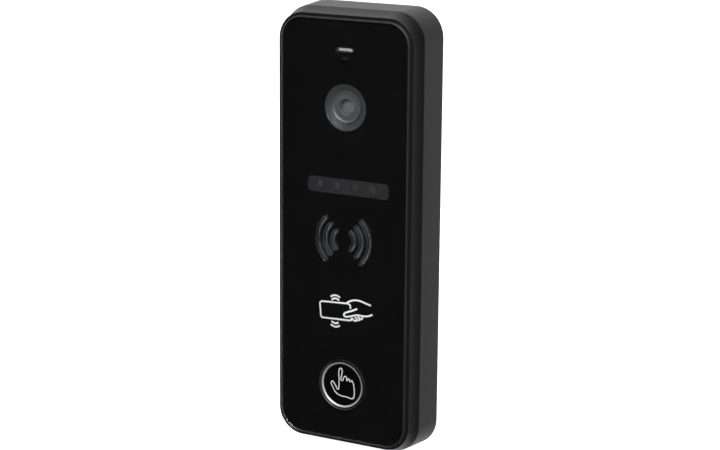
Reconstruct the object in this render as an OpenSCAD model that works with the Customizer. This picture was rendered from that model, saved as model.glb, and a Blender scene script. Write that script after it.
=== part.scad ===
// Slim video door intercom panel for a door frame or gate post.
// +Z is up, the front looks along -Y, and the wall lies on the plane y = 0.
// The origin is the centre of the face that rests on the wall.

/* [Body] */
// Width of the casing where it meets the wall
body_w = 53.4; // [52.4:0.2:70]
// Height of the casing where it meets the wall
body_h = 148.6; // [146.6:1:190.6]
// Depth from the wall to the front face
body_d = 18; // [18:0.5:26]
// Radius of the four corners
corner_r = 10; // [8:0.5:12]
// How far the casing's sides lean in between the wall and the crease
side_draft = 0.7; // [0:0.1:0.8]
// From the front face back to the crease between the slanted border and the sides
crease_depth = 6.3; // [5.5:0.1:8]
// How far the slanted border leans in on the left and right
bevel_side = 1.2; // [0.8:0.1:2.2]
// How far the slanted border leans in at the top and bottom
bevel_end = 1.8; // [1:0.1:2.6]
// Width of the flat rim around the front plate
rim_w = 1; // [0.8:0.1:1.4]
// Thickness of the casing's side walls
side_wall = 1.8; // [1.4:0.1:2.4]
// Thickness of the casing's front wall, behind the plate
front_wall = 1.6; // [1.4:0.1:2.2]

/* [Front plate] */
// Thickness of the clear acrylic plate
plate_t = 2; // [1.5:0.1:2.4]
// How far the plate stands proud of the casing's rim
plate_proud = 1; // [0.6:0.1:1.2]
// Width of the slope around the plate's front face
plate_slope = 0.8; // [0.4:0.1:1.2]
// Gap between the plate's edge and the casing
plate_gap = 0.1; // [0.05:0.05:0.2]
// Thickness of the black printed film behind the plate
film_t = 0.1; // [0.1:0.05:0.2]
// Thickness of the tape that holds the plate
tape_t = 0.2; // [0.1:0.05:0.3]

/* [Camera] */
// From the top of the body to the middle of the lens
camera_drop = 32.5; // [31:0.5:36]
// Radius of the clear opening in the film in front of the lens
window_r = 7.7; // [7:0.1:8.4]
// Radius of the lens barrel
barrel_r = 5.3; // [4.6:0.1:5.6]
// Radius of the front lens
lens_r = 2.1; // [1.5:0.1:2.4]
// Width and height of the camera's board
camera_board = 25; // [24:0.5:27]

/* [Infrared light] */
// From the top of the body to the middle of the infrared window
ir_drop = 58.7; // [57.9:0.2:58.9]
// From the middle line to the middle of the dark window
ir_shift = 1.2; // [0:0.1:1.4]
// Width of the dark window
ir_w = 30.4; // [28:0.2:32]
// Height of the dark window
ir_h = 5.2; // [4.6:0.1:5.8]
// Corner radius of the dark window
ir_r = 1.6; // [0.5:0.1:2.2]
// Radius of each lamp
lamp_r = 1.5; // [1:0.1:1.8]
// Distance from one lamp to the next
lamp_pitch = 6.7; // [5:0.1:7.4]
// Number of lamps
lamp_count = 4; // [2:1:4]

/* [Speaker] */
// From the top of the body to the middle of the speaker
speaker_drop = 76.5; // [75.9:0.2:77.3]
// Radius of the largest slot, along its middle line
slot_r = 9.7; // [9:0.1:10.5]
// Distance from one slot to the next
slot_pitch = 2.85; // [2.4:0.05:3.1]
// Width of a slot
slot_w = 1.6; // [1.2:0.1:1.9]
// Angle that a slot reaches above and below the middle
slot_angle = 46; // [30:1:60]
// Radius of the speaker
speaker_r = 13.5; // [13.2:0.1:13.6]

/* [Card reader] */
// From the bottom of the body to the middle of the reader
reader_lift = 47.8; // [47:0.5:49]
// Width of the reader's board
reader_w = 36; // [30:0.5:40]
// Height of the reader's board
reader_h = 18; // [14:0.5:18]

/* [Call button] */
// From the bottom of the body to the middle of the button
button_lift = 22.6; // [22:0.1:24]
// Radius of the button over its metal ring
button_r = 8.05; // [7:0.05:9]
// Width of the metal ring
ring_w = 0.9; // [0.6:0.1:1.2]
// Gap between the button and the hole in the plate
button_gap = 0.3; // [0.2:0.05:0.5]
// How far the button sits behind the front face
button_sink = 0.4; // [0:0.1:0.6]
// How far the button can be pressed
button_travel = 0.8; // [0.4:0.1:1]

/* [Microphone] */
// From the top of the body to the microphone slot
mic_drop = 13.6; // [13:0.1:15]
// Width of the microphone slot
mic_w = 6.2; // [4:0.1:8]
// Height of the microphone slot
mic_h = 1.3; // [1:0.1:1.6]
// From the microphone slot down to the two light pipes
pipe_drop = 2.9; // [2.8:0.1:3.4]

/* [Rear] */
// Thickness of the wall bracket
bracket_t = 1.5; // [1.2:0.1:2]
// Depth of the space for the bracket, behind the rear cover
bracket_space = 3.2; // [3:0.1:4]
// Thickness of the rear cover
cover_t = 1.6; // [1.4:0.1:2]
// Thickness of the seal under the rear cover
seal_t = 0.8; // [0.6:0.1:1]
// Distance between the two wall screws
wall_hole_pitch = 96; // [80:1:100]
// Radius of the wall screw holes
wall_hole_r = 2.2; // [1.8:0.1:2.6]
// Width and height of the cable opening in the bracket
cable_window = 28; // [20:1:32]
// From the middle of the body down to the cable opening
cable_drop = 22; // [20:1:26]
// Radius of the bore in the cable grommet
cable_r = 3; // [2:0.1:3.5]

/* [Boards] */
// Thickness of the main board
board_t = 1.2; // [1:0.1:1.6]
// Space between the casing's front wall and the main board
board_gap = 5.5; // [5.4:0.1:6]

/* [Hidden] */
$fn = 64;
fit_gap = 0.1;
cut = 0.5;
// The round ends of a slot are this much slimmer than the slot
end_step = 0.02;

// Planes from the front face to the wall
front_y = -body_d;
rim_y = front_y + plate_proud;
plate_back_y = front_y + plate_t;
film_back_y = plate_back_y + film_t;
floor_y = film_back_y + tape_t;
crease_y = front_y + crease_depth;
inner_y = floor_y + front_wall;
board_y = inner_y + board_gap;
board_back_y = board_y + board_t;
cover_back_y = -bracket_space;
cover_y = cover_back_y - cover_t;
ledge_y = cover_y - seal_t;

// Outlines
crease_w = body_w - 2 * side_draft;
crease_h = body_h - 2 * side_draft;
front_w = crease_w - 2 * bevel_side;
front_h = crease_h - 2 * bevel_end;
front_r = corner_r - 1.2;
plate_w = front_w - 2 * rim_w;
plate_h = front_h - 2 * rim_w;
plate_r = front_r - rim_w;
film_in = 0.3;
inner_share = min(1, (inner_y - rim_y) / (crease_y - rim_y));
cavity_w = front_w + 2 * bevel_side * inner_share - 2 * side_wall;
cavity_h = front_h + 2 * bevel_end * inner_share - 2 * side_wall;
cavity_r = corner_r - side_wall;
tape_w = 2;
rear_lip = 1.9;
cover_w = body_w - 2 * rear_lip;
cover_h = body_h - 2 * rear_lip;
cover_r = corner_r - rear_lip;
seal_w = 0.9;

// Heights of the features on the front
camera_z = body_h / 2 - camera_drop;
ir_z = body_h / 2 - ir_drop;
speaker_z = body_h / 2 - speaker_drop;
reader_z = -body_h / 2 + reader_lift;
button_z = -body_h / 2 + button_lift;
mic_z = body_h / 2 - mic_drop;
pipe_z = mic_z - pipe_drop;
pipe_x = 0.72;
pipe_r = 0.4;

// Button
cap_r = button_r - ring_w;
hole_r = button_r + button_gap;
hole_chamfer = 0.3;
cap_y = front_y + button_sink;
cap_t = 1.4;
cap_back_y = cap_y + cap_t;
pocket_clear = 0.2;
pocket_y = cap_back_y + button_travel + pocket_clear;
stem_r = 5.5;
neck_r = 4.95;
retainer_y = inner_y + fit_gap;
retainer_t = 0.8;
stem_tail = 0.45;
stem_end_y = retainer_y + retainer_t + stem_tail;
plunger_r = 1.7;
plunger_in = 0.2;
plunger_t = button_travel + plunger_in + 0.3;
plunger_y = stem_end_y + 0.05;
switch_y = plunger_y + plunger_t - plunger_in;
switch_w = 6;
lamp_ring_r = 6.4;

// Meshes behind the slots
mesh_t = 0.3;
mesh_recess = 0.35;
mesh_r = slot_r + slot_w + 0.8;

// Speaker
collar_wall = 1;
collar_gap = 0.2;
collar_h = 2.2;
gasket_t = 0.5;
basket_y = inner_y + gasket_t;
basket_rim = 1.4;
magnet_r = 8.1;

// Screws and posts
screw_r = 1;
pilot_r = 0.8;
head_r = 1.9;
head_t = 1;
cover_post_r = 3;
cover_post_in = 4.5;
cover_post_x = cover_w / 2 - seal_w - cover_post_in;
cover_post_z = cover_h / 2 - seal_w - cover_post_in;
board_w = cavity_w - 1.6;
board_top_z = ir_z - 4.2;
board_low_z = -cavity_h / 2 + 8.3;
board_h = board_top_z - board_low_z;
board_mid_z = (board_top_z + board_low_z) / 2;
post_r = 2.2;
board_post_x = board_w / 2 - 3.6;
board_post_z = board_h / 2 - 4.5;
camera_post_x = camera_board / 2 - 2.4;
camera_y = inner_y + 4.6;
camera_board_t = 1;
mouth_y = film_back_y + 0.3;
lens_seat_y = plate_back_y + 2.3;
lens_dome = 0.5;
lens_back = 0.45;
ir_post_x = ir_w / 2 + ir_shift + 2.8;
ir_back_w = ir_w + 2 * ir_shift + 0.6;
ir_back_h = ir_h + 0.6;
ir_back_r = ir_r + 0.3;
ir_post_r = 1.4;
ir_board_y = inner_y + 2.8;
ir_board_t = 0.8;
sensor_board_y = inner_y + 1.8;
sensor_board_t = 0.8;
sensor_post_x = 9.5;
trimmer_x = 12;
trimmer_z = button_z + 8;
trimmer_w = 6;
trimmer_t = 1.8;
rotor_r = 2.2;
trimmer_hole_r = 2.4;
rotor_y = board_back_y + trimmer_t - 0.8;
rotor_t = 1;

// Wall bracket
bracket_gap = 0.6;
bracket_w = cover_w - 2 * bracket_gap;
bracket_h = cover_h - 2 * bracket_gap;
bracket_r = cover_r - bracket_gap;
hook_x = 12;
hook_w = 9;
hook_rise = 1.1;
lug_w = 10;
lug_h = 3;
lock_r = 1.25;
lock_y = -bracket_space / 2;
lock_len = 5;
cable_z = -cable_drop;
grommet_r = cable_r + 1.4;
grommet_flange_r = cable_r + 3;
grommet_flange_t = 1;
header_z = cable_z + 21.5;
header_t = cover_y - board_back_y - 0.2;

// Extrudes a flat shape, drawn in X and Z, from one depth to another
module between(y0, y1) {
    translate([0, y1, 0]) rotate([90, 0, 0]) linear_extrude(y1 - y0) children();
}

module rounded(w, h, r) {
    square([w - 2 * r, h], center = true);
    square([w, h - 2 * r], center = true);
    for (x = [-1, 1], z = [-1, 1]) translate([x * (w / 2 - r), z * (h / 2 - r)]) circle(r);
}

module slab(w, h, r, y0, y1) {
    between(y0, y1) rounded(w, h, r);
}

module rod(r, y0, y1, x = 0, z = 0) {
    between(y0, y1) translate([x, z]) circle(r);
}

// Turns a profile, drawn as [radius, depth], around a line along Y
module turned(x = 0, z = 0) {
    translate([x, 0, z]) rotate([-90, 0, 0]) rotate_extrude() children();
}

module frame_ring(w, h, r, width, y0, y1) {
    between(y0, y1) difference() {
        rounded(w, h, r);
        rounded(w - 2 * width, h - 2 * width, max(r - width, 0.2));
    }
}

module four(x, z, mid_z = 0) {
    for (sx = [-1, 1], sz = [-1, 1]) translate([sx * x, 0, mid_z + sz * z]) children();
}

// One curved slot with round ends, on the right or the left of the speaker
module sound_slot(r, w, y0, y1, side) {
    between(y0, y1) translate([0, speaker_z]) {
        intersection() {
            difference() {
                circle(r + w / 2);
                circle(r - w / 2);
            }
            polygon([[0, 0], for (t = [-1, -0.5, 0, 0.5, 1])
                3 * r * [side * cos(t * slot_angle), side * sin(t * slot_angle)]]);
        }
        for (t = [-1, 1])
            translate(r * [side * cos(slot_angle), t * sin(slot_angle)]) circle(w / 2 - end_step);
    }
}

module sound_slots(w, y0, y1) {
    for (i = [0:2], side = [-1, 1]) sound_slot(slot_r - i * slot_pitch, w, y0, y1, side);
}

// Casing
module casing_block() {
    hull() {
        slab(front_w, front_h, front_r, rim_y, rim_y + 0.01, $fn = 32);
        slab(crease_w, crease_h, corner_r, crease_y, crease_y + 0.01, $fn = 32);
    }
    hull() {
        slab(crease_w, crease_h, corner_r, crease_y, crease_y + 0.01, $fn = 32);
        slab(body_w, body_h, corner_r, -0.01, 0, $fn = 32);
    }
}

module casing_shell() {
    difference() {
        casing_block();
        slab(plate_w + 2 * plate_gap, plate_h + 2 * plate_gap, plate_r + plate_gap,
            rim_y - cut, floor_y);
        slab(cavity_w, cavity_h, cavity_r, inner_y, cut);
        slab(cover_w + 2 * fit_gap, cover_h + 2 * fit_gap, cover_r, ledge_y, cut);
        // notches for the bracket's hooks
        for (x = [-1, 1]) translate([x * hook_x, 0, cover_h / 2])
            between(-bracket_t - fit_gap, cut) square([hook_w + 1, 3], center = true);
        // hole for the locking screw
        translate([0, lock_y, -body_h / 2 - cut]) cylinder(r = lock_r + fit_gap, h = 5);
    }
}

module casing_posts() {
    four(cover_post_x, cover_post_z) rod(cover_post_r, inner_y - cut, ledge_y + seal_t);
    four(board_post_x, board_post_z, board_mid_z) rod(post_r, inner_y - cut, board_y);
    for (x = [-1, 1]) {
        rod(post_r, inner_y - cut, camera_y, x * camera_post_x, camera_z);
        rod(ir_post_r, inner_y - cut, ir_board_y, x * ir_post_x, ir_z);
        rod(ir_post_r, inner_y - cut, sensor_board_y, x * sensor_post_x, pipe_z + 2);
    }
    // collar around the speaker
    difference() {
        rod(speaker_r + collar_gap + collar_wall, inner_y - cut, inner_y + collar_h, 0, speaker_z);
        rod(speaker_r + collar_gap, inner_y - 2 * cut, inner_y + collar_h + cut, 0, speaker_z);
    }
}

module casing() {
    color([0.1, 0.1, 0.105]) difference() {
        union() {
            casing_shell();
            casing_posts();
        }
        four(cover_post_x, cover_post_z) rod(pilot_r, ledge_y - 5, cut);
        four(board_post_x, board_post_z, board_mid_z) rod(pilot_r, board_y - 4, cut);
        for (x = [-1, 1]) rod(pilot_r, camera_y - 3.4, cut, x * camera_post_x, camera_z);
        rod(window_r + fit_gap, floor_y - cut, inner_y + cut, 0, camera_z);
        translate([0, 0, ir_z]) slab(ir_back_w + 2 * fit_gap, ir_back_h + 2 * fit_gap,
            ir_back_r + fit_gap, floor_y - cut, inner_y + cut);
        rod(mesh_r + 0.2, floor_y - cut, floor_y + mesh_recess, 0, speaker_z);
        sound_slots(slot_w + 0.4, floor_y - cut, inner_y + cut);
        translate([0, 0, reader_z])
            slab(reader_w - 4, reader_h - 4, 2, floor_y - cut, inner_y + cut);
        rod(hole_r + fit_gap, floor_y - cut, pocket_y, 0, button_z);
        rod(stem_r + fit_gap, floor_y - cut, inner_y + cut, 0, button_z);
        translate([0, 0, mic_z]) slab(mic_w + 1, mic_h + 1, 0.6, floor_y - cut, floor_y + mesh_recess);
        rod(0.9, floor_y - cut, inner_y + cut, 0, mic_z);
        for (x = [-1, 1]) rod(pipe_r + fit_gap, floor_y - cut, inner_y + cut, x * pipe_x, pipe_z);
    }
}

// Front
module front_holes(y0, y1) {
    sound_slots(slot_w, y0, y1);
    rod(hole_r, y0, y1, 0, button_z);
    translate([0, 0, mic_z]) slab(mic_w, mic_h, mic_h / 2 - 0.1, y0, y1);
    for (x = [-1, 1]) rod(pipe_r + 0.05, y0, y1, x * pipe_x, pipe_z);
}

module front_plate() {
    color([0.3, 0.32, 0.33, 0.5]) difference() {
        union() {
            hull() {
                slab(plate_w - 2 * plate_slope, plate_h - 2 * plate_slope, plate_r - plate_slope,
                    front_y, front_y + 0.01, $fn = 32);
                slab(plate_w, plate_h, plate_r, rim_y - 0.01, rim_y, $fn = 32);
            }
            slab(plate_w, plate_h, plate_r, rim_y - 0.01, plate_back_y, $fn = 32);
        }
        front_holes(front_y - cut, plate_back_y + cut);
        turned(0, button_z) polygon([[0, front_y - 0.01], [hole_r + hole_chamfer, front_y - 0.01],
            [hole_r, front_y + hole_chamfer], [0, front_y + hole_chamfer]]);
    }
}

module plate_film() {
    color([0.02, 0.02, 0.02]) difference() {
        slab(plate_w - 2 * film_in, plate_h - 2 * film_in, plate_r - film_in,
            plate_back_y, film_back_y);
        front_holes(plate_back_y - cut, film_back_y + cut);
        rod(window_r, plate_back_y - cut, film_back_y + cut, 0, camera_z);
        translate([ir_shift, 0, ir_z])
            slab(ir_w, ir_h, ir_r, plate_back_y - cut, film_back_y + cut);
    }
}

module infrared_filter() {
    color([0.1, 0.05, 0.06]) translate([ir_shift, 0, ir_z])
        slab(ir_w - 0.06, ir_h - 0.06, ir_r - 0.03, plate_back_y, film_back_y);
}

module plate_adhesive() {
    color([0.8, 0.8, 0.76])
        frame_ring(plate_w - 2 * film_in, plate_h - 2 * film_in, plate_r - film_in, tape_w,
            film_back_y, floor_y);
}

module speaker_mesh() {
    color([0.35, 0.35, 0.36]) rod(mesh_r, floor_y, floor_y + mesh_t, 0, speaker_z);
}

module microphone_mesh() {
    color([0.85, 0.84, 0.8]) translate([0, 0, mic_z])
        slab(mic_w + 0.8, mic_h + 0.8, 0.5, floor_y, floor_y + mesh_t);
}

module light_pipes() {
    color([0.85, 0.85, 0.85, 0.5])
        for (x = [-1, 1]) rod(pipe_r, front_y + 0.1, sensor_board_y - 0.9, x * pipe_x, pipe_z);
}

// Call button
module button_cap() {
    color([0.02, 0.02, 0.02]) turned(0, button_z) polygon([[0, cap_y], [cap_r, cap_y],
        [cap_r, cap_back_y], [stem_r, cap_back_y], [stem_r, retainer_y], [neck_r, retainer_y],
        [neck_r, retainer_y + retainer_t], [stem_r, retainer_y + retainer_t],
        [stem_r, stem_end_y], [0, stem_end_y]]);
}

module button_ring() {
    color("silver") turned(0, button_z) polygon([[cap_r, cap_y], [cap_r + 0.1, cap_y],
        [button_r, cap_y + ring_w - 0.1], [button_r, cap_back_y], [cap_r, cap_back_y]]);
}

module button_retainer() {
    color([0.8, 0.8, 0.78]) turned(0, button_z) polygon([[neck_r + 0.05, retainer_y],
        [stem_r + 1.8, retainer_y], [stem_r + 1.8, retainer_y + retainer_t],
        [neck_r + 0.05, retainer_y + retainer_t]]);
}

module switch_body() {
    color([0.12, 0.12, 0.12]) difference() {
        translate([0, 0, button_z]) slab(switch_w, switch_w, 0.4, switch_y, board_y);
        rod(plunger_r + fit_gap, switch_y - cut, switch_y + plunger_t, 0, button_z);
    }
}

module switch_plunger() {
    color([0.85, 0.85, 0.8]) rod(plunger_r, plunger_y, plunger_y + plunger_t, 0, button_z);
}

module button_lamps() {
    color([0.95, 0.95, 0.85]) for (a = [45:90:315]) between(board_y - 0.7, board_y)
        translate([lamp_ring_r * cos(a), button_z + lamp_ring_r * sin(a)])
            square([1.6, 1.2], center = true);
}

// Main board and what stands on it
module main_board() {
    color([0.05, 0.3, 0.16]) difference() {
        translate([0, 0, board_mid_z]) slab(board_w, board_h, 2, board_y, board_back_y);
        four(board_post_x, board_post_z, board_mid_z) rod(screw_r, board_y - cut, board_back_y + cut);
    }
}

module chip(w, h, t, x, z, back = false) {
    translate([x, 0, z]) slab(w, h, 0.2, back ? board_back_y : board_y - t,
        back ? board_back_y + t : board_y);
}

module main_chip() {
    color([0.1, 0.1, 0.11]) chip(12, 12, 1.2, -9, reader_z - 1, true);
}

module small_chips() {
    color([0.1, 0.1, 0.11]) {
        chip(6, 5, 1, -13, button_z + 12);
        chip(5, 4, 1, 14, button_z + 10);
        chip(7, 5, 1, -10, reader_z + 16, true);
        chip(4, 4, 0.8, 12, reader_z + 18, true);
        chip(4, 3, 0.8, -14, button_z, true);
    }
}

module capacitors() {
    color([0.6, 0.6, 0.62]) for (x = [-1, 1])
        rod(2.1, board_y - 4.6, board_y, x * (board_w / 2 - 4.4), button_z + 2);
}

module cable_header() {
    color([0.92, 0.9, 0.82]) difference() {
        chip(14, 5, header_t, 0, header_z, true);
        translate([0, 0, header_z]) slab(12.4, 3.4, 0.3, board_back_y + 0.8, board_back_y + 4);
    }
}

module volume_trimmer() {
    color([0.15, 0.2, 0.5]) difference() {
        chip(trimmer_w, trimmer_w, trimmer_t, trimmer_x, trimmer_z, true);
        rod(rotor_r + fit_gap, rotor_y - 0.1, board_back_y + 5, trimmer_x, trimmer_z);
    }
}

module trimmer_rotor() {
    color([0.9, 0.88, 0.8]) difference() {
        rod(rotor_r, rotor_y, rotor_y + rotor_t, trimmer_x, trimmer_z);
        between(rotor_y + rotor_t - 0.5, rotor_y + rotor_t + cut)
            translate([trimmer_x, trimmer_z]) square([3, 0.6], center = true);
    }
}

module trimmer_plug() {
    color([0.08, 0.08, 0.08]) turned(trimmer_x, trimmer_z) polygon([[0, cover_y],
        [trimmer_hole_r, cover_y], [trimmer_hole_r, cover_back_y], [trimmer_hole_r + 1, cover_back_y],
        [trimmer_hole_r + 1, cover_back_y + 0.6], [0, cover_back_y + 0.6]]);
}

module board_screws() {
    color("silver") four(board_post_x, board_post_z, board_mid_z) screw(board_back_y, 3.2);
}

// A pan-head screw that points to the front, with its head behind the given depth
module screw(y, length) {
    difference() {
        turned() polygon([[0, y - length], [pilot_r - 0.05, y - length], [pilot_r - 0.05, y],
            [head_r, y], [head_r, y + head_t * 0.6], [head_r - 0.4, y + head_t], [0, y + head_t]]);
        for (a = [0, 90]) rotate([0, a, 0]) translate([-1, y + head_t - 0.5, -0.2]) cube([2, 1, 0.4]);
    }
}

// Camera
module camera_board_panel() {
    color([0.05, 0.25, 0.35]) difference() {
        translate([0, 0, camera_z])
            slab(camera_board, camera_board - 4, 1, camera_y, camera_y + camera_board_t);
        for (x = [-1, 1])
            rod(screw_r, camera_y - cut, camera_y + 2, x * camera_post_x, camera_z);
    }
}

module image_sensor() {
    color([0.2, 0.2, 0.25]) translate([0, 0, camera_z]) slab(5, 5, 0.2, camera_y - 0.8, camera_y);
}

module lens_holder() {
    color([0.07, 0.07, 0.07]) difference() {
        union() {
            translate([0, 0, camera_z]) slab(14, 14, 1, camera_y - 2.2, camera_y);
            rod(barrel_r + 1.2, camera_y - 3.6, camera_y - 2, 0, camera_z);
        }
        translate([0, 0, camera_z]) slab(8, 8, 0.5, camera_y - 1.2, camera_y + cut);
        rod(barrel_r + 0.05, camera_y - 4, camera_y - 1, 0, camera_z);
    }
}

module lens_barrel() {
    seat_y = lens_seat_y;
    color([0.3, 0.3, 0.31]) turned(0, camera_z) polygon([[barrel_r - 0.4, mouth_y],
        [barrel_r, mouth_y + 0.3], [barrel_r, camera_y - 1.6], [1.4, camera_y - 1.6],
        [1.4, seat_y + 0.5], [lens_r + 0.05, seat_y + 0.5], [lens_r + 0.05, seat_y],
        [lens_r + 0.6, seat_y - 0.1], [lens_r + 0.8, mouth_y + 0.4]]);
}

module front_lens() {
    ball_r = (lens_r * lens_r + lens_dome * lens_dome) / (2 * lens_dome);
    color([0.5, 0.55, 0.7, 0.6]) intersection() {
        rod(lens_r, lens_seat_y - lens_dome, lens_seat_y + lens_back, 0, camera_z);
        translate([0, lens_seat_y - lens_dome + ball_r, camera_z]) sphere(ball_r, $fn = 96);
    }
}

module camera_shroud() {
    color([0.32, 0.32, 0.33]) turned(0, camera_z) polygon([[window_r - 0.4, film_back_y],
        [window_r, film_back_y], [window_r, inner_y + 0.8], [barrel_r + 0.4, inner_y + 0.8],
        [barrel_r + 0.4, inner_y + 0.4]]);
}

module camera_screws() {
    color("silver") for (x = [-1, 1])
        translate([x * camera_post_x, 0, camera_z]) screw(camera_y + camera_board_t, 3);
}

module camera_ribbon() {
    z_top = camera_z - camera_board / 2 + 4;
    z_low = board_top_z - 2;
    color([0.75, 0.6, 0.35]) translate([-4, 0, 0]) rotate([90, 0, 90]) linear_extrude(8)
        polygon([[camera_y + camera_board_t, z_top], [camera_y + camera_board_t + 0.2, z_top],
            [camera_y + camera_board_t + 0.2, z_top - 4.4], [board_back_y + 0.2, z_low + 3],
            [board_back_y + 0.2, z_low], [board_back_y, z_low], [board_back_y, z_low + 3],
            [camera_y + camera_board_t, z_top - 4.4]]);
}

// Infrared light
module lamp_places() {
    for (i = [0:lamp_count - 1])
        translate([(i - (lamp_count - 1) / 2) * lamp_pitch, 0, ir_z]) children();
}

module infrared_board() {
    color([0.05, 0.3, 0.16]) translate([0, 0, ir_z])
        slab(2 * ir_post_x + 4, ir_h + 1.2, 1, ir_board_y, ir_board_y + ir_board_t);
}

module infrared_lamps() {
    tip_y = film_back_y + 0.8;
    color([0.45, 0.42, 0.5, 0.8]) lamp_places() {
        rod(lamp_r, tip_y + lamp_r, ir_board_y);
        intersection() {
            translate([0, tip_y + lamp_r, 0]) sphere(lamp_r);
            rod(lamp_r, tip_y - cut, tip_y + lamp_r);
        }
    }
}

module infrared_baffle() {
    color([0.06, 0.06, 0.06]) difference() {
        translate([0, 0, ir_z])
            slab(ir_back_w, ir_back_h, ir_back_r, film_back_y, ir_board_y - 0.4);
        lamp_places() rod(lamp_r + fit_gap, film_back_y - cut, ir_board_y + cut);
    }
}

// Speaker
module speaker_frame() {
    y0 = basket_y;
    neck = magnet_r + 0.1;
    color([0.25, 0.25, 0.26]) turned(0, speaker_z) polygon([[speaker_r, y0], [speaker_r, y0 + 0.9],
        [speaker_r - basket_rim, y0 + 0.9], [neck + 0.8, y0 + 3.2], [neck, y0 + 3.2],
        [neck, y0 + 2.6], [speaker_r - 2.2, y0 + 0.4], [speaker_r - basket_rim, y0]]);
}

module speaker_cone() {
    y0 = basket_y;
    color([0.1, 0.1, 0.1]) turned(0, speaker_z) polygon([[0, y0 + 1], [3.2, y0 + 1.4],
        [speaker_r - 2.4, y0 + 0.1], [speaker_r - 2.4, y0 + 0.35], [3.2, y0 + 1.7], [0, y0 + 1.3]]);
}

module speaker_magnet() {
    color([0.5, 0.5, 0.52]) rod(magnet_r, basket_y + 2, basket_y + 4.4, 0, speaker_z);
}

module speaker_gasket() {
    color([0.12, 0.12, 0.12]) between(inner_y, basket_y) translate([0, speaker_z])
        difference() {
            circle(speaker_r);
            circle(speaker_r - basket_rim - 0.1);
        }
}

// Microphone and light sensor
module sensor_board() {
    color([0.05, 0.3, 0.16]) translate([0, 0, pipe_z + 2])
        slab(2 * sensor_post_x + 4, 8.6, 1, sensor_board_y, sensor_board_y + sensor_board_t);
}

module microphone() {
    color("silver") difference() {
        translate([0, 0, mic_z + 0.3]) slab(3.8, 2.8, 0.2, sensor_board_y - 1.1, sensor_board_y);
        rod(0.4, sensor_board_y - 1.6, sensor_board_y - 0.8, 0, mic_z);
    }
}

module microphone_boot() {
    color([0.08, 0.08, 0.08]) difference() {
        translate([0, 0, mic_z + 0.3]) slab(5.6, 4, 0.6, inner_y, sensor_board_y);
        translate([0, 0, mic_z + 0.3])
            slab(3.9, 2.9, 0.2, sensor_board_y - 1.15, sensor_board_y + cut);
        rod(0.9, inner_y - cut, sensor_board_y, 0, mic_z);
    }
}

module light_sensor() {
    color([0.8, 0.8, 0.75]) translate([0, 0, pipe_z - 0.2])
        slab(3, 1.4, 0.1, sensor_board_y - 0.8, sensor_board_y);
}

// Card reader
module reader_board() {
    color([0.05, 0.3, 0.16]) translate([0, 0, reader_z])
        slab(reader_w, reader_h, 1, inner_y, inner_y + 0.8);
}

module reader_coil() {
    color([0.72, 0.45, 0.2]) for (i = [0:3]) translate([0, 0, reader_z])
        frame_ring(reader_w - 5 - 2.4 * i, reader_h - 5 - 2.4 * i, 2, 0.8, inner_y - 0.3, inner_y);
}

// Rear
module rear_cover() {
    color([0.12, 0.12, 0.125]) difference() {
        slab(cover_w, cover_h, cover_r, cover_y, cover_back_y);
        four(cover_post_x, cover_post_z) {
            rod(screw_r + fit_gap, cover_y - cut, cover_back_y + cut);
            rod(head_r + 0.15, cover_back_y - head_t, cover_back_y + cut);
        }
        rod(grommet_r, cover_y - cut, cover_back_y + cut, 0, cable_z);
        rod(trimmer_hole_r, cover_y - cut, cover_back_y + cut, trimmer_x, trimmer_z);
    }
}

module cover_seal() {
    color([0.05, 0.05, 0.05]) frame_ring(cover_w - 0.1, cover_h - 0.1, cover_r, seal_w, ledge_y, cover_y);
}

module cover_screws() {
    color("silver") four(cover_post_x, cover_post_z) screw(cover_back_y - head_t, 4.6);
}

module cable_grommet() {
    color([0.07, 0.07, 0.07]) turned(0, cable_z) polygon([[cable_r, cover_y - grommet_flange_t],
        [grommet_flange_r - 0.5, cover_y - grommet_flange_t], [grommet_flange_r, cover_y],
        [grommet_r, cover_y], [grommet_r, cover_back_y], [grommet_flange_r, cover_back_y],
        [grommet_flange_r - 0.5, cover_back_y + grommet_flange_t],
        [cable_r, cover_back_y + grommet_flange_t]]);
}

module wall_bracket() {
    color([0.62, 0.63, 0.65]) difference() {
        union() {
            slab(bracket_w, bracket_h, bracket_r, -bracket_t, 0);
            for (x = [-1, 1]) translate([x * hook_x, 0, bracket_h / 2]) between(-bracket_t, 0)
                square([hook_w, 2 * (bracket_gap + hook_rise)], center = true);
            translate([0, 0, -bracket_h / 2 + lug_h / 2])
                slab(lug_w, lug_h, 0.3, -bracket_space + 0.2, 0);
        }
        for (z = [-1, 1]) rod(wall_hole_r, -bracket_t - cut, cut, 0, z * wall_hole_pitch / 2);
        translate([0, 0, cable_z])
            slab(cable_window, cable_window, 2, -bracket_t - cut, cut);
        translate([0, lock_y, -bracket_h / 2 - cut]) cylinder(r = lock_r + 0.02, h = lug_h + 2);
    }
}

module lock_screw() {
    color("silver") difference() {
        translate([0, lock_y, -body_h / 2 + 0.2]) cylinder(r = lock_r, h = lock_len);
        translate([0, lock_y, -body_h / 2 - cut]) cylinder(r = 0.75, h = 1.6, $fn = 6);
    }
}

casing();
front_plate();
plate_adhesive();
plate_film();
infrared_filter();
speaker_mesh();
microphone_mesh();
light_pipes();
button_cap();
button_ring();
button_retainer();
switch_body();
switch_plunger();
button_lamps();
main_board();
main_chip();
small_chips();
capacitors();
cable_header();
volume_trimmer();
trimmer_rotor();
trimmer_plug();
camera_board_panel();
image_sensor();
lens_holder();
lens_barrel();
front_lens();
camera_shroud();
camera_screws();
camera_ribbon();
infrared_board();
infrared_lamps();
infrared_baffle();
speaker_frame();
speaker_cone();
speaker_magnet();
speaker_gasket();
sensor_board();
microphone();
microphone_boot();
light_sensor();
reader_board();
reader_coil();
rear_cover();
cover_seal();
cover_screws();
board_screws();
cable_grommet();
wall_bracket();
lock_screw();
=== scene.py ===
import math

import bmesh
import bpy
from mathutils import Matrix, Vector


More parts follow.
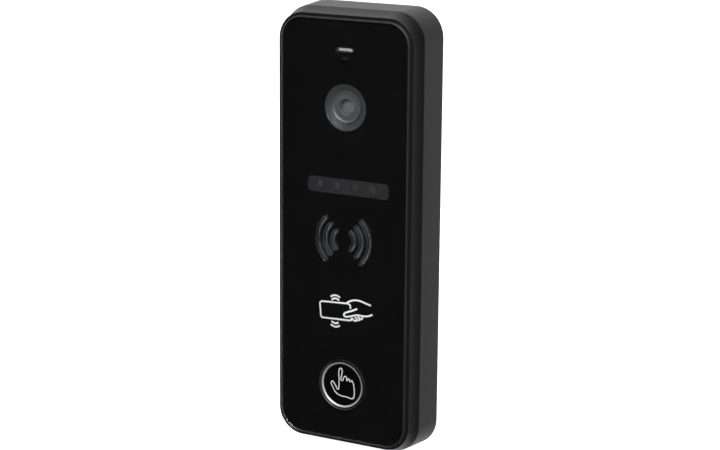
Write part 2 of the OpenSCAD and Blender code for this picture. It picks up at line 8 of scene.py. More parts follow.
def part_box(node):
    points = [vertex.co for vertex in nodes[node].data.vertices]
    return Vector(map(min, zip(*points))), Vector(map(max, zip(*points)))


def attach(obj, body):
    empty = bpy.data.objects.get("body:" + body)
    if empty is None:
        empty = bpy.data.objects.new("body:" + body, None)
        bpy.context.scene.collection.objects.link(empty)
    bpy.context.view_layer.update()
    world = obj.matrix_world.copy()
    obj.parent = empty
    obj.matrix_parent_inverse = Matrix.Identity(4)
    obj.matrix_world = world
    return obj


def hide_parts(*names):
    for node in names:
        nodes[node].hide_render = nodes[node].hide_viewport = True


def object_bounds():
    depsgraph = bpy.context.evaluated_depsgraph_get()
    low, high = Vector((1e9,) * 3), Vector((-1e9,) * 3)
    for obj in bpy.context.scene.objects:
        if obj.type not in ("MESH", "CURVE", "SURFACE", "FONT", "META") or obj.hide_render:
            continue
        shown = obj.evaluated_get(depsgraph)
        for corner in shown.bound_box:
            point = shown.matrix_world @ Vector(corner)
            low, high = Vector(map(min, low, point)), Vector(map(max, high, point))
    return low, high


# A slim door intercom panel, finished around its CAD frame.
# Pieces are shaped in millimetres and scaled to metres when they are finished.

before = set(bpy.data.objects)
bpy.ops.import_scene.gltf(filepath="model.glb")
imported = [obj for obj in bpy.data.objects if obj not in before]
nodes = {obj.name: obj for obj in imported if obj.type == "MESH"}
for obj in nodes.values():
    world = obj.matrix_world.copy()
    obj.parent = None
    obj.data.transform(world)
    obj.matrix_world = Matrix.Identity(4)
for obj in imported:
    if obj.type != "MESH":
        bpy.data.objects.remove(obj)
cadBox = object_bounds()
mm = 0.001
print("frame loaded with", len(nodes), "nodes")


# Camera

cameraView = {
    "azimuth": 29.142,    # degrees round from straight in front
    "elevation": 12.964,
    "roll": 0.49,
    "distance": 638.142,  # from the middle of the front face
    "right": 5.686,       # how far the view is centred to the side of that point
    "up": 3.101,
    "lens": 97.341,
    "sensor": 36.0,
}


def makeCamera(view, target):
    azimuth, elevation, roll = (math.radians(view[k]) for k in ("azimuth", "elevation", "roll"))
    back = Vector((math.sin(azimuth) * math.cos(elevation),
                   -math.cos(azimuth) * math.cos(elevation), math.sin(elevation)))
    flatRight = Vector((math.cos(azimuth), math.sin(azimuth), 0))
    flatUp = back.cross(flatRight)
    right = flatRight * math.cos(roll) + flatUp * math.sin(roll)
    up = flatUp * math.cos(roll) - flatRight * math.sin(roll)
    place = target + flatRight * view["right"] + flatUp * view["up"] + back * view["distance"]
    data = bpy.data.cameras.new("productCamera")
    data.sensor_width = view["sensor"]
    data.lens = view["lens"]
    data.clip_start = 0.01
    camera = bpy.data.objects.new("productCamera", data)
    bpy.context.scene.collection.objects.link(camera)
    turn = Matrix((right, up, back)).transposed().to_4x4()
    camera.matrix_world = Matrix.Translation(place * mm) @ turn
    bpy.context.scene.camera = camera


def spanOf(node):
    low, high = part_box(node)
    return low / mm, high / mm


def middleOf(node):
    low, high = spanOf(node)
    return (low + high) / 2


plateLow, plateHigh = spanOf("front_plate")
makeCamera(cameraView, Vector((0, plateLow.y, 0)))
print("camera placed")


# Node, colour and pattern helpers

finishes = {}


def linear(hexColour):
    parts = [int(hexColour[i:i + 2], 16) / 255 for i in (0, 2, 4)]
    return [p / 12.92 if p <= 0.04045 else ((p + 0.055) / 1.055) ** 2.4 for p in parts] + [1.0]


def addNode(tree, kind, settings=None, links=None):
    node = tree.nodes.new(kind)
    for key, value in (settings or {}).items():
        if isinstance(key, int) or key in node.inputs:
            node.inputs[key].default_value = value
        else:
            setattr(node, key, value)
    for key, source in (links or {}).items():
        tree.links.new(source, node.inputs[key])
    return node


def newFinish(slot, name, colour, roughness, **sockets):
    material = bpy.data.materials.new(name)
    material.use_nodes = True
    tree = material.node_tree
    tree.nodes.clear()
    settings = {"Base Color": linear(colour), "Roughness": roughness}
    settings.update(sockets)
    shader = addNode(tree, "ShaderNodeBsdfPrincipled", settings)
    addNode(tree, "ShaderNodeOutputMaterial", links={"Surface": shader.outputs["BSDF"]})
    finishes[slot] = material
    return shader


def patternOf(shader, kind, size, output="Fac", stretch=(1, 1, 1), turn=(0, 0, 0), shift=(0, 0, 0),
              **settings):
    # a texture on the piece's own coordinates; its size and its place are in millimetres
    tree = shader.id_data
    place = addNode(tree, "ShaderNodeTexCoord").outputs["Object"]
    points = addNode(tree, "ShaderNodeMapping",
                     {"Location": shift, "Rotation": turn, "Scale": [s / mm for s in stretch]},
                     {"Vector": place}).outputs["Vector"]
    settings["Scale"] = 1 / size
    return addNode(tree, "ShaderNodeTex" + kind, settings, {"Vector": points}).outputs[output]


def work(shader, pattern, tones=None, gloss=None, relief=0, reach=(0.3, 0.7), most=1.0, strength=1.0):
    # lets a pattern, between its two values in reach, mix two tones, set the gloss and raise the
    # surface by millimetres; a tone of None is the colour already there, and reliefs add up
    tree = shader.id_data

    def ranged(low, high):
        return addNode(tree, "ShaderNodeMapRange",
                       {"From Min": reach[0], "From Max": reach[1], "To Min": low, "To Max": high},
                       {"Value": pattern}).outputs["Result"]

    if tones:
        blend = addNode(tree, "ShaderNodeMix", {"data_type": "RGBA"}, {0: ranged(0, most)})
        for place, tone in zip((6, 7), tones):
            if tone is None:
                tree.links.new(shader.inputs["Base Color"].links[0].from_socket, blend.inputs[place])
            else:
                blend.inputs[place].default_value = linear(tone)
        tree.links.new(blend.outputs[2], shader.inputs["Base Color"])
    if gloss:
        tree.links.new(ranged(*gloss), shader.inputs["Roughness"])
    if relief:
        under = shader.inputs["Normal"].links
        bump = addNode(tree, "ShaderNodeBump", {"Distance": relief * mm, "Strength": strength},
                       {"Height": pattern, **({"Normal": under[0].from_socket} if under else {})})
        tree.links.new(bump.outputs["Normal"], shader.inputs["Normal"])


def grained(slot, name, light, dark, roughness, grain, relief, patch=12.0, **sockets):
    # a moulded, cast or sprayed finish: fine relief, uneven gloss and a slow drift of tone
    shader = newFinish(slot, name, light, roughness, **sockets)
    work(shader, patternOf(shader, "Noise", patch, Detail=2.0), (light, dark))
    work(shader, patternOf(shader, "Noise", grain, Detail=4.0, Roughness=0.6),
         gloss=(roughness * 0.85, min(1, roughness * 1.15)), relief=relief)
    return shader


def brushed(slot, name, light, dark, roughness, along, **sockets):
    # fine parallel lines; along is the axis they run on
    shader = newFinish(slot, name, light, roughness, **sockets)
    stretch = [0.04 if axis == along else 1 for axis in "XYZ"]
    work(shader, patternOf(shader, "Noise", 0.25, stretch=stretch, Detail=5.0, Roughness=0.65),
         (light, dark), (roughness * 0.7, roughness * 1.4), 0.004)
    return shader


# Finishes, each named for the real material

# powder coat over die-cast metal: deep black, softly shining, with a fine even grit
coat = grained("casing_paint", "blackPowderCoat", "17171a", "131315", 0.42, 0.35, 0.012, patch=30, IOR=1.5)
work(coat, patternOf(coat, "Voronoi", 0.6, "Distance", feature="SMOOTH_F1"), relief=0.03, strength=0.6)

# cast acrylic: glass-clear, with the faintest ripple in its gloss
clear = newFinish("plate_acrylic", "castAcrylic", "f7f9fa", 0.015, IOR=1.49, **{"Transmission Weight": 1.0})
work(clear, patternOf(clear, "Noise", 22, Detail=1.0), gloss=(0.0, 0.03), relief=0.02, strength=0.3)

# the saw-cut and buffed edge of the acrylic: milky, with fine lines across it
edge = newFinish("plate_edge", "buffedAcrylicEdge", "8f9193", 0.4, IOR=1.49, **{"Transmission Weight": 0.88})
work(edge, patternOf(edge, "Noise", 0.4, stretch=(1, 0.1, 1), Detail=4.0, Roughness=0.6),
     gloss=(0.34, 0.5), relief=0.01)

# screen-printed black ink under acrylic: dense, with a trace of mesh marks
ink = newFinish("black_print", "blackScreenPrint", "0c0c0d", 0.6, IOR=1.49, **{"Specular IOR Level": 0.0})
work(ink, patternOf(ink, "Noise", 25, Detail=2.0), ("0d0d0e", "0b0b0c"))
work(ink, patternOf(ink, "Voronoi", 0.5, "Distance"), (None, "101011"), reach=(0, 1), most=0.25)

# smoky film that hides the lamps by day: dark grey with the lamps just showing through
film = newFinish("infrared_acrylic", "smokedInfraredFilm", "39383a", 0.35, IOR=1.49, Alpha=0.62,
                 **{"Specular IOR Level": 0.1})
work(film, patternOf(film, "Noise", 3.0, Detail=3.0), ("3b3a3c", "363537"))

# stainless wire cloth under a thin grey lacquer: even and soft, with bright crowns on the wires
brushed("mesh_steel", "lacqueredWireCloth", "8b8d8f", "7b7d80", 0.45, "Z", Metallic=0.2)

# clear polycarbonate rod, slightly frosted at its end
pipe = newFinish("clear_acrylic", "clearPolycarbonate", "dfe6e8", 0.15, IOR=1.58,
                 **{"Transmission Weight": 1.0})
work(pipe, patternOf(pipe, "Noise", 0.15, Detail=3.0), gloss=(0.1, 0.3), relief=0.006)

# black acrylic cap: deep, wet-looking black with slight finger haze
cap = newFinish("button_acrylic", "blackAcrylic", "070708", 0.06, IOR=1.49)
work(cap, patternOf(cap, "Noise", 4.0, Detail=4.0, Roughness=0.6), ("070708", "09090a"), (0.03, 0.12))

# satin chrome on a turned ring: a broad soft shine with faint turning marks
chrome = newFinish("ring_chrome", "satinChrome", "e6e7e8", 0.5, Metallic=0.6)
work(chrome, patternOf(chrome, "Noise", 0.3, stretch=(1, 0.2, 1), Detail=3.0),
     ("ecedee", "e2e3e4"), (0.46, 0.58))

# white screen-print ink: flat and even, a little thin at its edges
grained("white_ink", "whiteScreenInk", "f4f4f2", "eeeeec", 0.55, 0.3, 0.002, patch=3, IOR=1.5,
        **{"Specular IOR Level": 0.2})
# woven nylon over the microphone: chalky white threads
grained("nylon_cloth", "wovenNylonCloth", "efeeea", "dedcd6", 0.7, 0.25, 0.05, patch=1)

# green solder mask over copper: tracks stand up under the mask
board = newFinish("board_laminate", "greenSolderMask", "0f4a2b", 0.32, IOR=1.55,
                  **{"Coat Weight": 0.4, "Coat Roughness": 0.12})
work(board, patternOf(board, "Noise", 0.7, Detail=2.0), ("0f4a2b", "0c3f25"), (0.26, 0.4))
work(board, patternOf(board, "Brick", 1 / 0.45, turn=(math.radians(90), 0, 0),
                      **{"Mortar Size": 0.02, "Brick Width": 0.9, "Row Height": 0.25}),
     (None, "1d6b40"), relief=0.035, reach=(0, 1))

# enamelled copper: reddish, glossy, with the tracks' slight grain
brushed("coil_copper", "enamelledCopper", "b4653a", "8f4a28", 0.28, "Z", Metallic=1.0,
        **{"Coat Weight": 0.6, "Coat Roughness": 0.1})

# polyimide ribbon: amber, with darker conductors along it
ribbon = newFinish("ribbon_film", "polyimideRibbon", "b9762a", 0.3, IOR=1.7,
                   **{"Coat Weight": 0.3, "Coat Roughness": 0.15})
work(ribbon, patternOf(ribbon, "Wave", 1 / 0.32, bands_direction="X"), ("c58433", "8a4f1c"),
     reach=(0.4, 0.6), relief=0.03)

# zinc-plated sheet steel: pale grey crystal patches, each catching the light its own way
zinc = newFinish("bracket_zinc", "zincPlatedSteel", "a9adb0", 0.38, Metallic=1.0)
crystals = addNode(zinc.id_data, "ShaderNodeSeparateColor",
                   links={"Color": patternOf(zinc, "Voronoi", 6.0, "Color")}).outputs[0]
work(zinc, crystals, ("b4b8bb", "94999c"), (0.3, 0.42), reach=(0, 1))
work(zinc, patternOf(zinc, "Noise", 0.4, stretch=(1, 1, 0.08), Detail=4.0, Roughness=0.6), relief=0.004)

# coated lens glass with a painted reflection: a pale grey base colour over the dark of the barrel stands in
# for the reflection the lens shows
lens = newFinish("lens_glass", "coatedLensGlass", "66676c", 0.05, IOR=1.6,
                 **{"Coat Weight": 1.0, "Coat Roughness": 0.02, "Transmission Weight": 0.2})
# painted reflection: paler grey where the lens faces the camera, darker blue-grey towards its grazing edge
paintedReflectionByFacing = addNode(lens.id_data, "ShaderNodeLayerWeight", {"Blend": 0.35}).outputs["Facing"]
work(lens, paintedReflectionByFacing, ("6c6d71", "4a4d58"), reach=(0, 1))

# dark grey funnel round the lens: satin, with fine anti-glare rings
funnel = newFinish("shroud_moulding", "satinGreyFunnel", "363637", 0.45, IOR=1.5)
ringsFrom = -middleOf("front_lens")
ringsFrom.y = 0
work(funnel, patternOf(funnel, "Noise", 1.5, shift=ringsFrom, Detail=3.0), ("383839", "343435"))
work(funnel, patternOf(funnel, "Wave", 1 / 0.55, shift=ringsFrom, wave_type="RINGS", rings_direction="Y"),
     (None, "2c2c2d"), relief=0.05, reach=(0, 1), most=0.18)

# pressed paper cone with a doped, slightly shiny surface
grained("speaker_film", "dopedPaperCone", "1d1c1b", "151414", 0.6, 0.5, 0.03, patch=5)
# acrylic foam tape: chalky white, soft and porous
grained("tape", "acrylicFoamTape", "e2e1d8", "d2d1c6", 0.85, 0.2, 0.02)
# natural nylon: milky and waxy
grained("white_nylon", "naturalNylon", "e6e3d8", "dad6c9", 0.42, 0.4, 0.006, IOR=1.53,
        **{"Subsurface Weight": 0.15, "Subsurface Radius": (1, 1, 1), "Subsurface Scale": 0.0008})
# glass-filled black nylon: matt with pale flecks of fibre
grained("black_moulding", "glassFilledNylon", "1b1b1c", "141415", 0.55, 0.25, 0.01, IOR=1.53)
# yellow phosphor under clear gel on each lamp
grained("lamp_phosphor", "lampPhosphor", "f1dc6a", "e6cc52", 0.35, 0.15, 0.004, patch=1,
        **{"Coat Weight": 0.7, "Coat Roughness": 0.08})
# moulded epoxy of a chip: dark grey, sandy and dull
grained("chip_epoxy", "chipEpoxy", "252628", "1d1e20", 0.62, 0.15, 0.008, patch=2)
# aluminium can of a capacitor, drawn and bright
brushed("capacitor_can", "drawnAluminiumCan", "c6c8ca", "aeb1b3", 0.28, "Y", Metallic=1.0)
# blue thermoplastic of the trimmer's case: an even, slightly shiny blue
grained("trimmer_case", "bluePolyester", "24489a", "1d3c84", 0.4, 0.3, 0.006, patch=2)
# black silicone rubber: soft sheen, dusty
grained("black_rubber", "blackSilicone", "1c1c1c", "171717", 0.6, 0.3, 0.012, patch=4, IOR=1.41,
        **{"Sheen Weight": 0.15, "Sheen Roughness": 0.4})
# sensor under its cover glass: dark with a green cast
grained("sensor_glass", "sensorCoverGlass", "233034", "1a2528", 0.12, 0.4, 0.0005, patch=1.5, IOR=1.52,
        **{"Coat Weight": 1.0, "Coat Roughness": 0.03})
# grey anodised barrel: satin, with turning lines round it
brushed("barrel_aluminium", "greyAnodisedBarrel", "5a5b5d", "4b4c4e", 0.4, "Y", Metallic=0.4)
# nickel-plated screw steel: a warm, soft shine
brushed("screw_steel", "nickelPlatedSteel", "b6b3ab", "96938b", 0.3, "X", Metallic=1.0)
# pale epoxy of an infrared lamp: faintly violet and glossy
grained("lamp_resin", "tintedLampResin", "c9c6cf", "b9b6c0", 0.12, 0.8, 0.001, patch=1, IOR=1.55,
        **{"Coat Weight": 0.5, "Coat Roughness": 0.04})
# drawn steel basket under black lacquer: dark, with a soft metal glint
grained("speaker_steel", "lacqueredSteelBasket", "3a3b3d", "2e2f31", 0.35, 0.4, 0.006, Metallic=0.5)
# sintered ferrite: dark grey, gritty, with a bloom
grained("magnet_ferrite", "sinteredFerrite", "4b4c50", "3c3d40", 0.7, 0.3, 0.02, patch=3)
# closed-cell foam: black and pitted
grained("black_foam", "closedCellFoam", "1b1b1b", "121212", 0.9, 0.35, 0.08, patch=2)
# moulded ABS of the rear cover: spark-eroded texture, satin
grained("cover_moulding", "texturedAbs", "222224", "1c1c1e", 0.48, 0.5, 0.025, IOR=1.53)
# white paper roll under the set: matt and even, and white wherever the camera sees it
paper = newFinish("floor_paper", "whitePaperRoll", "f4f4f4", 0.9,
                  **{"Emission Color": (1, 1, 1, 1), "Emission Strength": 1.0})
work(paper, patternOf(paper, "Noise", 40, Detail=2.0), ("f6f6f6", "f2f2f2"))
print("finishes mixed:", len(finishes))


# Shape helpers, in millimetres

def inPlane():
    # turns a shape drawn in X and Y to stand in X and Z, facing the front
    return Matrix.Rotation(math.radians(90), 4, "X")


def addSheet(shape, width, height, radius, depth, middle=(0, 0), steps=8):
    start = set(shape.verts)
    made = bmesh.ops.create_grid(shape, x_segments=1, y_segments=1, size=0.5)["verts"]
    bmesh.ops.scale(shape, verts=made, vec=(width, height, 1))
    if radius > 0:
        bmesh.ops.bevel(shape, geom=made, offset=radius, segments=steps, profile=0.5,
                        affect="VERTICES", material=-1)
    made = [v for v in shape.verts if v not in start]
    bmesh.ops.transform(shape, matrix=inPlane(), verts=made)
    bmesh.ops.translate(shape, verts=made, vec=(middle[0], depth, middle[1]))
    return made


def thicken(shape, made, distance):
    # pulls flat faces back along Y into a closed solid
    faces = list({f for v in made for f in v.link_faces})
    grown = bmesh.ops.extrude_face_region(shape, geom=faces, use_keep_orig=True)["geom"]
    moved = [g for g in grown if isinstance(g, bmesh.types.BMVert)]
    bmesh.ops.translate(shape, verts=moved, vec=(0, distance, 0))
    return made + moved


def addSlab(shape, width, height, radius, front, back, middle=(0, 0), steps=8):
    made = addSheet(shape, width, height, radius, front, middle, steps)
    return thicken(shape, made, back - front)


def addRod(shape, radius, front, back, middle=(0, 0), steps=32):
    place = Matrix.Translation((middle[0], (front + back) / 2, middle[1]))
    return bmesh.ops.create_cone(
        shape, cap_ends=True, segments=steps, radius1=radius, radius2=radius, depth=back - front,
        matrix=place @ Matrix.Rotation(math.radians(-90), 4, "X"))["verts"]


def addTurned(shape, profile, middle=(0, 0), steps=64):
    # spins a profile of (radius, depth) points round a line along Y
    points = [shape.verts.new((middle[0] + radius, depth, middle[1])) for radius, depth in profile]
    edges = [shape.edges.new(pair) for pair in zip(points, points[1:])]
    bmesh.ops.spin(shape, geom=points + edges, cent=(middle[0], 0, middle[1]), axis=(0, 1, 0),
                   dvec=(0, 0, 0), angle=math.tau, steps=steps, use_merge=True)
    bmesh.ops.remove_doubles(shape, verts=list(shape.verts), dist=0.0005)


def soften(shape, edges, width, steps=2):
    bmesh.ops.bevel(shape, geom=edges, offset=width, segments=steps, profile=0.5, affect="EDGES",
                    material=-1, clamp_overlap=True)


def edgesAt(shape, depth, reach=0.001):
    # the edges that lie in one plane across Y, where two walls or a wall and a face meet
    return [e for e in shape.edges if all(abs(v.co.y - depth) < reach for v in e.verts)
            and len(e.link_faces) == 2 and e.calc_face_angle(0) > 0.1]


def looseObject(shape, name):
    mesh = bpy.data.meshes.new(name)
    shape.to_mesh(mesh)
    shape.free()
    piece = bpy.data.objects.new(name, mesh)
    bpy.context.scene.collection.objects.link(piece)
    return piece


def settle(piece):
    # uses up a loose object and gives its shape with the modifiers applied
    bpy.context.view_layer.update()
    done = bpy.data.meshes.new_from_object(piece.evaluated_get(bpy.context.evaluated_depsgraph_get()))
    shape = bmesh.new()
    shape.from_mesh(done)
    discard(piece)
    bpy.data.meshes.remove(done)
    return shape


def discard(piece):
    data = piece.data
    bpy.data.objects.remove(piece)
    bpy.data.meshes.remove(data)


def carve(shape, tool, operation="DIFFERENCE"):
    # both shapes are used up; the result is a new one
    bmesh.ops.recalc_face_normals(shape, faces=list(shape.faces))
    bmesh.ops.recalc_face_normals(tool, faces=list(tool.faces))
    block, blade = looseObject(shape, "block"), looseObject(tool, "blade")
    cut = block.modifiers.new("cut", "BOOLEAN")
    cut.operation = operation
    cut.solver = "EXACT"
    cut.use_self = True
    cut.object = blade
    result = settle(block)
    discard(blade)
    return result


def finishPiece(name, shape, body, slot, replaced, coats=(), smooth=32, weigh=True):
    # coats are the finishes, where they are not the slot's own
    bmesh.ops.recalc_face_normals(shape, faces=list(shape.faces))
    bmesh.ops.scale(shape, vec=(mm, mm, mm), verts=list(shape.verts))
    piece = looseObject(shape, name)
    for coat in coats or (slot,):
        piece.data.materials.append(finishes[coat])
    piece.data.polygons.foreach_set("use_smooth", [True] * len(piece.data.polygons))
    piece.data.set_sharp_from_angle(angle=math.radians(smooth))
    if weigh:
        piece.modifiers.new("shading", "WEIGHTED_NORMAL").keep_sharp = True
    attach(piece, body)
    if replaced:
        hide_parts(*replaced)
    return piece


# Planes and middles that the CAD gives

plateBack = plateHigh.y
rimPlane = spanOf("casing")[0].y
filmBack = spanOf("plate_film")[1].y
floorPlane = spanOf("plate_adhesive")[1].y
innerPlane = spanOf("speaker_gasket")[0].y
ledgePlane = spanOf("cover_seal")[0].y
cameraMiddle = middleOf("front_lens")
clearRadius = (spanOf("camera_shroud")[1].x - spanOf("camera_shroud")[0].x) / 2
infraredMiddle = middleOf("infrared_filter")
speakerMiddle = middleOf("speaker_mesh")
readerMiddle = middleOf("reader_board")
buttonMiddle = middleOf("button_ring")
slotMiddle = middleOf("microphone_mesh")
pipeLow, pipeHigh = spanOf("light_pipes")
screwReach = 1.9  # from the outline of four screws to their axes
past = 0.5        # how far a cutting shape reaches past the face it cuts


def at(point):
    return point.x, point.z


def screwPlaces(node):
    low, high = spanOf(node)
    return [(x, z) for x in (low.x + screwReach, high.x - screwReach)
            for z in (low.z + screwReach, high.z - screwReach)]


def addLockHole(shape, radius, reach, up):
    # the locking screw's hole, upright through an edge
    hole = addRod(shape, radius, -reach, reach)
    bmesh.ops.transform(shape, matrix=inPlane(), verts=hole)
    bmesh.ops.translate(shape, verts=hole, vec=(0, middleOf("lock_screw").y, up))


# Sound slots, shared by the plate, the film and the casing

soundSlots = {
    "radii": (9.7, 6.85, 4.0),
    "width": 1.6,
    "reach": 46,  # degrees above and below the middle
    "steps": 20,
    "endSteps": 8,
}


def addSlots(shape, extra, front, back):
    width = soundSlots["width"] + extra
    reach = math.radians(soundSlots["reach"])
    across = Matrix.Translation((speakerMiddle.x, 0, speakerMiddle.z))
    for radius in soundSlots["radii"]:
        for side in (0, math.pi):
            start = set(shape.verts)
            turn = Matrix.Rotation(side + reach, 4, "Y")
            row = [shape.verts.new(turn @ Vector((radius + step * width / 2, front, 0)))
                   for step in (-1, 0, 1)]
            edges = [shape.edges.new(row[:2]), shape.edges.new(row[1:])]
            last = bmesh.ops.spin(shape, geom=row + edges, cent=(0, 0, 0), axis=(0, -1, 0), dvec=(0, 0, 0),
                                  angle=2 * reach, steps=soundSlots["steps"])["geom_last"]
            lastVerts = [g for g in last if isinstance(g, bmesh.types.BMVert)]
            for verts, way in ((row, 1), (lastVerts, -1)):
                ordered = sorted(verts, key=lambda v: v.co.x ** 2 + v.co.z ** 2)
                centre, outer = ordered[1], ordered[2]
                half = next(e for e in centre.link_edges if outer in e.verts)
                bmesh.ops.spin(shape, geom=[centre, outer, half], cent=centre.co, axis=(0, way, 0),
                               dvec=(0, 0, 0), angle=math.pi, steps=soundSlots["endSteps"])
            made = [v for v in shape.verts if v not in start]
            bmesh.ops.remove_doubles(shape, verts=made, dist=0.005)
            made = [v for v in shape.verts if v not in start]
            bmesh.ops.transform(shape, matrix=across, verts=made)
            thicken(shape, made, back - front)


micSlot = {"width": 6.2, "height": 1.3, "radius": 0.6}
pipeHole = {"spacing": 1.44, "radius": 0.45}
buttonHole = 8.35


def addFrontHoles(shape, front, back, extra=0.0, buttonRadius=buttonHole):
    addSlots(shape, extra, front, back)
    addRod(shape, buttonRadius + extra / 2, front, back, at(buttonMiddle), 64)
    addSlab(shape, micSlot["width"] + extra, micSlot["height"] + extra, micSlot["radius"],
            front, back, at(slotMiddle), 6)
    for side in (-1, 1):
        addRod(shape, pipeHole["radius"], front, back,
               (side * pipeHole["spacing"] / 2, (pipeLow.z + pipeHigh.z) / 2), 16)


# Casing

plate = {
    "radius": 7.8,
    "cornerSteps": 14,
    "rounding": 0.5,      # of the outer front edge
    "filmInset": 0.3,
    "filterRadius": 1.57,  # corners of the infrared film
    "filterGap": 0.03,     # between it and the printed film
    "holeSoftness": 0.08,
    "chamfer": 0.3,       # round the button
    "holesWithin": (14, 66),  # no hole lies further out than this, across and up
    "buttonWithin": 9,    # only the button's hole lies this near its middle
}
casing = {
    "creaseDepth": 6.3,   # from the front face back to the crease
    "creaseInset": 0.7,   # on each side, from the wall to the crease
    "slantSide": 1.2,     # how far the border leans in on the left and right
    "slantEnd": 1.8,      # and at the top and bottom
    "hollow": 0.22,       # how far the border dips from a straight slope
    "hollowAt": 0.5,      # the share of the way from the crease to the rim
    "rearRadius": 10.0,
    "rimRadius": 8.8,
    "cornerSteps": 14,
    "creaseSoftness": 0.3,
    "rimSoftness": 0.08,
    "wall": 1.8,
    "plateGap": 0.1,
    "clearance": 0.1,     # round the cover, the camera's shroud and the infrared baffle
    "coverRadius": 8.1,
    "openingRadius": 2,
    "readerLedge": 2,     # how far the reader's opening stops short of its board
    "holeEase": 0.4,      # wider than the holes in the plate
    "stemHole": 5.4,      # radius, for the button's stem
    "clothSeat": 12.3,    # radius of the speaker cloth's seat
    "nylonSeat": (7.2, 2.3, 0.6),  # width, height and corner radius
    "seatDepth": 0.35,
    "buttonSeat": (8.45, 0.5),     # radius and depth
    "hookNotch": (10, 3, -1.6),    # width, height and the plane where it starts
    "hookSpread": 12,
    "lockHole": 1.35,
    "posts": {"cover_screws": 2.8, "board_screws": 2.2},
}


def makeCasing():
    low, high = spanOf("casing")
    width, height = high.x - low.x, high.z - low.z
    steps = casing["cornerSteps"]
    creasePlane = plateLow.y + casing["creaseDepth"]
    crease, side, end = casing["creaseInset"], casing["slantSide"], casing["slantEnd"]
    share, hollow = casing["hollowAt"], casing["hollow"]
    dipPlane = creasePlane + (rimPlane - creasePlane) * share
    dipRadius = casing["rearRadius"] + (casing["rimRadius"] - casing["rearRadius"]) * share
    shape = bmesh.new()
    loops = [(high.y, 0, 0, casing["rearRadius"]),
             (creasePlane, crease, crease, casing["rearRadius"]),
             (dipPlane, crease + side * share + hollow, crease + end * share + hollow, dipRadius),
             (rimPlane, crease + side, crease + end, casing["rimRadius"])]
    rings = []
    for depth, insetSide, insetEnd, radius in loops:
        made = addSheet(shape, width - 2 * insetSide, height - 2 * insetEnd, radius, depth, steps=steps)
        rings.append(made)
    faces = [made[0].link_faces[0] for made in rings]
    bmesh.ops.delete(shape, geom=faces[1:-1], context="FACES_ONLY")
    for first, second in zip(rings, rings[1:]):
        edges = [e for e in shape.edges if any(all(v in ring for v in e.verts) for ring in (first, second))]
        bmesh.ops.bridge_loops(shape, edges=edges)
    bmesh.ops.recalc_face_normals(shape, faces=list(shape.faces))
    soften(shape, edgesAt(shape, creasePlane), casing["creaseSoftness"], 3)
    soften(shape, edgesAt(shape, rimPlane), casing["rimSoftness"], 3)
    soften(shape, edgesAt(shape, high.y), casing["rimSoftness"], 2)

    plateWidth, plateHeight = plateHigh.x - plateLow.x, plateHigh.z - plateLow.z
    gap = casing["plateGap"]
    innerShare = (innerPlane - rimPlane) / (creasePlane - rimPlane)
    cavity = width - 2 * (crease + side * (1 - innerShare) + casing["wall"])
    cavityHeight = height - 2 * (crease + end * (1 - innerShare) + casing["wall"])
    tool = bmesh.new()
    addSlab(tool, plateWidth + 2 * gap, plateHeight + 2 * gap, plate["radius"] + gap,
            rimPlane - past, floorPlane)
    shape = carve(shape, tool)
    tool = bmesh.new()
    addSlab(tool, cavity, cavityHeight, casing["rearRadius"] - casing["wall"], innerPlane, high.y + past)
    shape = carve(shape, tool)
    tool = bmesh.new()
    coverLow, coverHigh = spanOf("rear_cover")
    ease = 2 * casing["clearance"]
    addSlab(tool, coverHigh.x - coverLow.x + ease, coverHigh.z - coverLow.z + ease, casing["coverRadius"],
            ledgePlane, high.y + past)
    shape = carve(shape, tool)

    # openings through the front wall
    tool = bmesh.new()
    front, back = floorPlane - past, innerPlane + past
    addRod(tool, clearRadius + casing["clearance"], front, back, at(cameraMiddle), 64)
    baffleLow, baffleHigh = spanOf("infrared_baffle")
    addSlab(tool, baffleHigh.x - baffleLow.x + ease, baffleHigh.z - baffleLow.z + ease,
            casing["openingRadius"], front, back, at(middleOf("infrared_baffle")))
    readerLow, readerHigh = spanOf("reader_board")
    ledges = 2 * casing["readerLedge"]
    addSlab(tool, readerHigh.x - readerLow.x - ledges, readerHigh.z - readerLow.z - ledges,
            casing["openingRadius"], front, back, at(readerMiddle))
    addFrontHoles(tool, front, back, casing["holeEase"], casing["stemHole"])
    shape = carve(shape, tool)

    # seats in the floor, notches for the bracket's hooks and the hole for the locking screw
    tool = bmesh.new()
    seatBack = floorPlane + casing["seatDepth"]
    addRod(tool, casing["clothSeat"], front, seatBack, at(speakerMiddle), 64)
    buttonSeat, buttonDepth = casing["buttonSeat"]
    addRod(tool, buttonSeat, front, floorPlane + buttonDepth, at(buttonMiddle), 64)
    addSlab(tool, *casing["nylonSeat"], front, seatBack, at(slotMiddle), 4)
    notchWidth, notchHeight, notchFront = casing["hookNotch"]
    for side in (-1, 1):
        addSlab(tool, notchWidth, notchHeight, 0, notchFront, past,
                (side * casing["hookSpread"], coverHigh.z), 1)
    addLockHole(tool, casing["lockHole"], 2.5, low.z + 1)
    shape = carve(shape, tool)

    # posts for the screws
    tool = bmesh.new()
    for node, radius in casing["posts"].items():
        top = ledgePlane if node == "cover_screws" else spanOf("main_board")[0].y
        for place in screwPlaces(node):
            addRod(tool, radius, innerPlane - 0.3, top, place, 24)
    shape = carve(shape, tool, "UNION")
    finishPiece("casing_shell", shape, "housing", "casing_paint", ["casing"])


makeCasing()
print("casing shaped")


# Front plate, film and meshes

